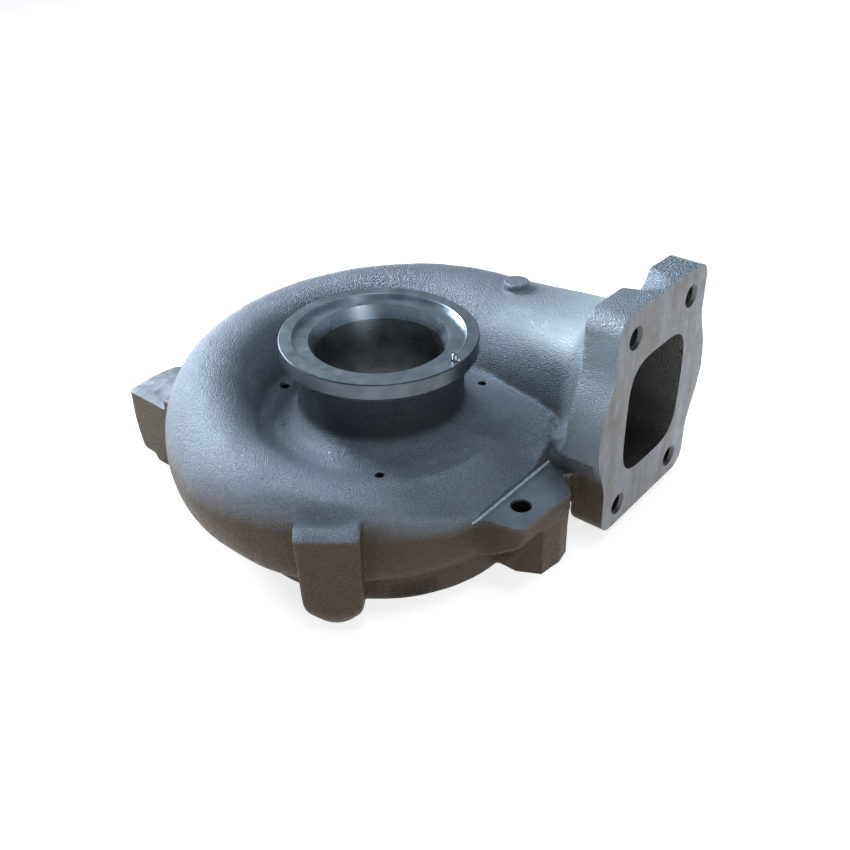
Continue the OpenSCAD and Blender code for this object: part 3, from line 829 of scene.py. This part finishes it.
def housing_materials(piece):
    """Gives the skin its finishes, in the order of the kinds."""
    piece.data.materials.clear()
    face_centre = (0.12, 0.62, 0.08)
    for made in (
        # The last colour of each cast finish, here and for the cored iron, is its painted shade colour.
        cast_material("cast_iron", (0.118, 0.136, 0.16), (0.455, 0.53, 0.63), (0.098, 0.066, 0.041)),
        turned_material("turned_iron", (0.54, 0.62, 0.70), 0.26),
        turned_material("bored_iron", (0.27, 0.29, 0.30), 0.26, 700.0, 0.4),
        milled_material("milled_iron", (0.41, 0.47, 0.53), 0.30),
        milled_material("faced_iron", (0.18, 0.197, 0.222), 0.26, face_centre, (0, 1, 1),
                        (0.125, 0.117, 0.111), (1, 2.2, 0.45)),
        turned_material("drilled_iron", (0.16, 0.16, 0.16), 0.34, 700.0, 0.3),
        cast_material("cored_iron", (0.075, 0.073, 0.07), (0.26, 0.25, 0.24), (0.10, 0.095, 0.09)),
        # Darker copy of the turned finish for the clamp flange's outer wall: painted shade.
        turned_material("shaded_edge_iron", (0.15, 0.165, 0.19), 0.30),
        painted_glint_material(),
    ):
        piece.data.materials.append(made)


def pin_material():
    return turned_material("pin_steel", (0.50, 0.53, 0.58), 0.22, 3000.0, 0.06)


def face_facts(mesh):
    """Middles in millimetres and normals of all faces."""
    middles = np.zeros(len(mesh.polygons) * 3)
    normals = np.zeros(len(mesh.polygons) * 3)
    mesh.polygons.foreach_get("center", middles)
    mesh.polygons.foreach_get("normal", normals)
    return middles.reshape(-1, 3) / MM, normals.reshape(-1, 3)


def on_plane(c, n, axis, way, at, slack=0.03):
    """Faces that lie on a level plane and look along its axis, one way."""
    return (np.abs(c[:, axis] - at) < slack) & (way * n[:, axis] > 0.99)


def looks_at(c, n, x, y):
    """Faces that look towards the line through x, y along Z."""
    return (c[:, 0] - x) * n[:, 0] + (c[:, 1] - y) * n[:, 1] < 0


def by_line(c, n, point, axis, radius):
    """Faces within a radius of a line that don't look along it."""
    d = c - np.array(point)
    d = d - (d @ np.array(axis))[:, None] * np.array(axis)
    return (np.linalg.norm(d, axis=1) < radius) & (np.abs(n @ np.array(axis)) < 0.9)


def mark_cored(kind, c, gas):
    """Faces of the gas passage, found by its distance field."""
    skin = 1.6
    index = np.clip(((c - LOW) / STEP).round().astype(int), 0, np.array(gas.shape) - 1)
    kind[gas[index[:, 0], index[:, 1], index[:, 2]] < skin] = CORED


def mark_milled(kind, c, n):
    """The bearing side, the inlet face, and the pad and ear with their shoulders."""
    slack, rise, half_y = 0.05, SHOULDER_FILLET + 0.1, 60
    x, y, z = c.T
    foot = (z > PAD_Z) & (z < PAD_Z + rise) & (np.abs(y) < half_y)
    pad_foot_faces = foot & (x > PAD_IN - slack) & (x < PAD_IN + rise)
    ear_foot_faces = foot & (x < slack - EAR_IN) & (x > -EAR_IN - rise) & (y < EAR_BACK + EAR_SPARE)
    # The shoulder feet get the painted glint finish.
    kind[pad_foot_faces & (n[:, 0] > 0.2)] = PAINTED_GLINT
    kind[ear_foot_faces & (n[:, 0] < -0.2)] = PAINTED_GLINT
    level = on_plane(c, n, 2, 1, PAD_Z)
    kind[level & (x > PAD_IN - 0.1)] = MILLED
    kind[level & (x < -EAR_IN + 0.1)] = MILLED
    kind[on_plane(c, n, 0, 1, PAD_IN) & (z > PAD_Z) & (y < PAD_BACK)] = MILLED
    kind[on_plane(c, n, 0, -1, -EAR_IN) & (z > PAD_Z) & (y < EAR_BACK + EAR_SPARE)] = MILLED
    kind[on_plane(c, n, 2, -1, 0)] = MILLED
    kind[on_plane(c, n, 0, 1, INLET_X)] = FACE


def mark_turned(kind, c, n):
    """The clamp flange and its edge, the seats of the bearing side and the wheel bore."""
    x, y, z = c.T
    r = np.hypot(x, y)
    kind[(z > CLAMP_FOOT + 0.7) & (r < CLAMP_R + 0.5)] = TURNED
    # The clamp flange's outer wall gets the painted shade copy of the turned finish.
    kind[(z > CLAMP_FOOT + 5.0) & (r > CLAMP_R - 0.45) & (r < CLAMP_R + 0.5)] = SHADED_EDGE
    kind[(r < REGISTER_R + 1.2) & (z < SHIELD_Z + 0.1) & (z > 0.02)] = TURNED
    kind[looks_at(c, n, 0, 0) & (r < WHEEL_R + 0.3) & (z > 1)
         & (z < RECESS_Z - MOUTH_DEEP + 0.2)] = BORE


def mark_drilled(kind, c, n):
    """Walls and countersinks of all small holes."""
    up = (0, 0, 1)
    x, y, z = c.T
    for hole_y, hole_z in stud_places():
        hole = by_line(c, n, (0, hole_y, hole_z), (1, 0, 0), STUD_SINK_D / 2 + 0.1)
        hole = hole & (x > INLET_BACK - 8)
        kind[hole & (x > INLET_BACK + 1)] = DRILLED
        kind[hole & (np.hypot(y - hole_y, z - hole_z) < STUD_D / 2 + 0.1)] = DRILLED
    for turn in HUB_HOLE_TURNS:
        hole = by_line(c, n, polar(HUB_HOLE_AT, turn, 0), up, 3.3)
        kind[hole & (z > HUB_Z - HUB_HOLE_DEEP - 8) & (z < HUB_Z + 1)] = DRILLED
    hole = by_line(c, n, (PAD_HOLE_X, PAD_HOLE_Y, 0), up, 6.1) & looks_at(c, n, PAD_HOLE_X, PAD_HOLE_Y)
    kind[hole & (z > PAD_Z - PAD_HOLE_DEEP - 3)] = DRILLED
    kind[by_line(c, n, polar(PIN_AT, PIN_TURN, 0), up, 2.5) & (z > CLAMP_FOOT)] = DRILLED
    for turn in boss_turns():
        hole = by_line(c, n, polar(BOSS_HOLE_AT, turn, 0), up, 5.0)
        kind[hole & (z < BOSS_HOLE_DEEP + 6)] = DRILLED


def sort_faces(piece, gas):
    """Gives each face its finish by where it lies, and keeps machined edges sharp."""
    mesh = piece.data
    c, n = face_facts(mesh)
    kind = np.full(len(mesh.polygons), CAST)
    mark_cored(kind, c, gas)
    mark_milled(kind, c, n)
    mark_turned(kind, c, n)
    mark_drilled(kind, c, n)
    mesh.polygons.foreach_set("material_index", kind.astype(np.int32))
    level = np.max(np.abs(n), axis=1) > 0.9999
    mesh.polygons.foreach_set("use_smooth", ~(level & (kind != CAST) & (kind != CORED)))
    sharpen(mesh)


def sharpen(mesh):
    """Keeps an edge sharp between two finishes, and at a corner of machined faces."""
    cast_limit, machined_limit = math.radians(60), math.radians(22)
    work = bmesh.new()
    work.from_mesh(mesh)
    for edge in work.edges:
        if len(edge.link_faces) != 2:
            continue
        a, b = (face.material_index for face in edge.link_faces)
        limit = cast_limit if a == b and a in (CAST, CORED) else machined_limit
        edge.smooth = edge.calc_face_angle(0.0) < limit
    work.to_mesh(mesh)
    work.free()
    mesh.update()


def build_camera():
    """Camera fitted to the photo, placed by its turn and its shift from the clamp flange."""
    frame_px, sensor = 850.0, 36.0
    focal_px, azimuth, elevation, roll = 1029.1, 39.9, 33.9, -1.0
    shift_right, shift_up, away = 25.6, -51.4, 571.5
    a, e, w = (math.radians(v) for v in (azimuth, elevation, roll))
    back = Vector((math.sin(a) * math.cos(e), -math.cos(a) * math.cos(e), math.sin(e)))
    level = Vector((math.cos(a), math.sin(a), 0))
    steep = back.cross(level)
    right = level * math.cos(w) + steep * math.sin(w)
    up = steep * math.cos(w) - level * math.sin(w)
    eye = right * shift_right + up * shift_up + back * away + Vector((0, 0, HOUSING_H))
    data = bpy.data.cameras.new("camera")
    data.sensor_width = sensor
    data.lens = focal_px / frame_px * sensor
    data.clip_start, data.clip_end = 0.01, 20
    camera = bpy.data.objects.new("camera", data)
    turn = Matrix((right, up, back)).transposed()
    camera.matrix_world = Matrix.Translation(eye * MM) @ turn.to_4x4()
    bpy.context.scene.collection.objects.link(camera)
    bpy.context.scene.camera = camera


def area_light(name, place, aim, size, power, colour):
    data = bpy.data.lights.new(name, "AREA")
    data.shape, data.size, data.energy, data.color = "DISK", size, power, colour
    lamp = bpy.data.objects.new(name, data)
    lamp.location = place
    lamp.rotation_mode = "QUATERNION"
    lamp.rotation_quaternion = (Vector(aim) - Vector(place)).to_track_quat("-Z", "Y")
    bpy.context.scene.collection.objects.link(lamp)


def build_lights():
    """A large lamp from the left, and weaker ones from above and from the right."""
    middle = (0, 0, 0.05)
    area_light("left", (-1.2, 0.05, 0.62), middle, 0.75, 21.0, (0.84, 0.93, 1.0))
    area_light("top", (0.1, 0.1, 1.4), middle, 0.6, 5.0, (0.92, 0.96, 1.0))
    area_light("right", (1.2, -0.4, 0.6), (0.1, 0.05, 0.07), 0.5, 2.0, (1.0, 0.96, 0.92))


def build_world():
    world = bpy.data.worlds.new("world")
    world.use_nodes = True
    tree = world.node_tree
    tree.nodes.clear()
    sky = add(tree, "ShaderNodeBackground", {"Color": (0.78, 0.89, 1.0), "Strength": 0.23})
    add(tree, "ShaderNodeOutputWorld", {"Surface": sky.outputs[0]})
    bpy.context.scene.world = world


def seen_directly(tree):
    """1 for rays from the camera, and for those by which gloss or glass shows the ground."""
    rays = add(tree, "ShaderNodeLightPath").outputs
    gloss = worked(tree, "MAXIMUM", rays["Is Glossy Ray"], rays["Is Transmission Ray"])
    return worked(tree, "MAXIMUM", rays["Is Camera Ray"], gloss)


def build_floor():
    """Pale floor that takes the shadow, and looks white where it is seen directly."""
    reach, drop = 30.0, 0.0002
    mesh = bpy.data.meshes.new("floor")
    corners = [(x * reach, y * reach, -drop) for x, y in ((-1, -1), (1, -1), (1, 1), (-1, 1))]
    mesh.from_pydata(corners, [], [(0, 1, 2, 3)])
    floor = linked("floor", mesh)
    made, shader, tree = material("floor")
    feed(tree, shader.inputs["Base Color"], (0.80, 0.79, 0.78))
    feed(tree, shader.inputs["Roughness"], 0.9)
    lit = shader.outputs[0]
    glow = add(tree, "ShaderNodeEmission", {"Color": (1, 1, 1), "Strength": 0.75})
    white = add(tree, "ShaderNodeAddShader", {0: lit, 1: glow.outputs[0]})
    pick = add(tree, "ShaderNodeMixShader", {0: seen_directly(tree), 1: lit, 2: white.outputs[0]})
    tree.links.new(pick.outputs[0], tree.nodes["Material Output"].inputs["Surface"])
    mesh.materials.append(made)


skin = housing()
housing_materials(skin)
sort_faces(skin, gas_space())
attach(skin, "root")
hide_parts("turbine_housing")

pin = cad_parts["locating_pin"]
pin.data.materials.clear()
pin.data.materials.append(pin_material())

build_floor()
build_world()
build_lights()
build_camera()
bpy.context.scene.view_settings.view_transform = "Standard"
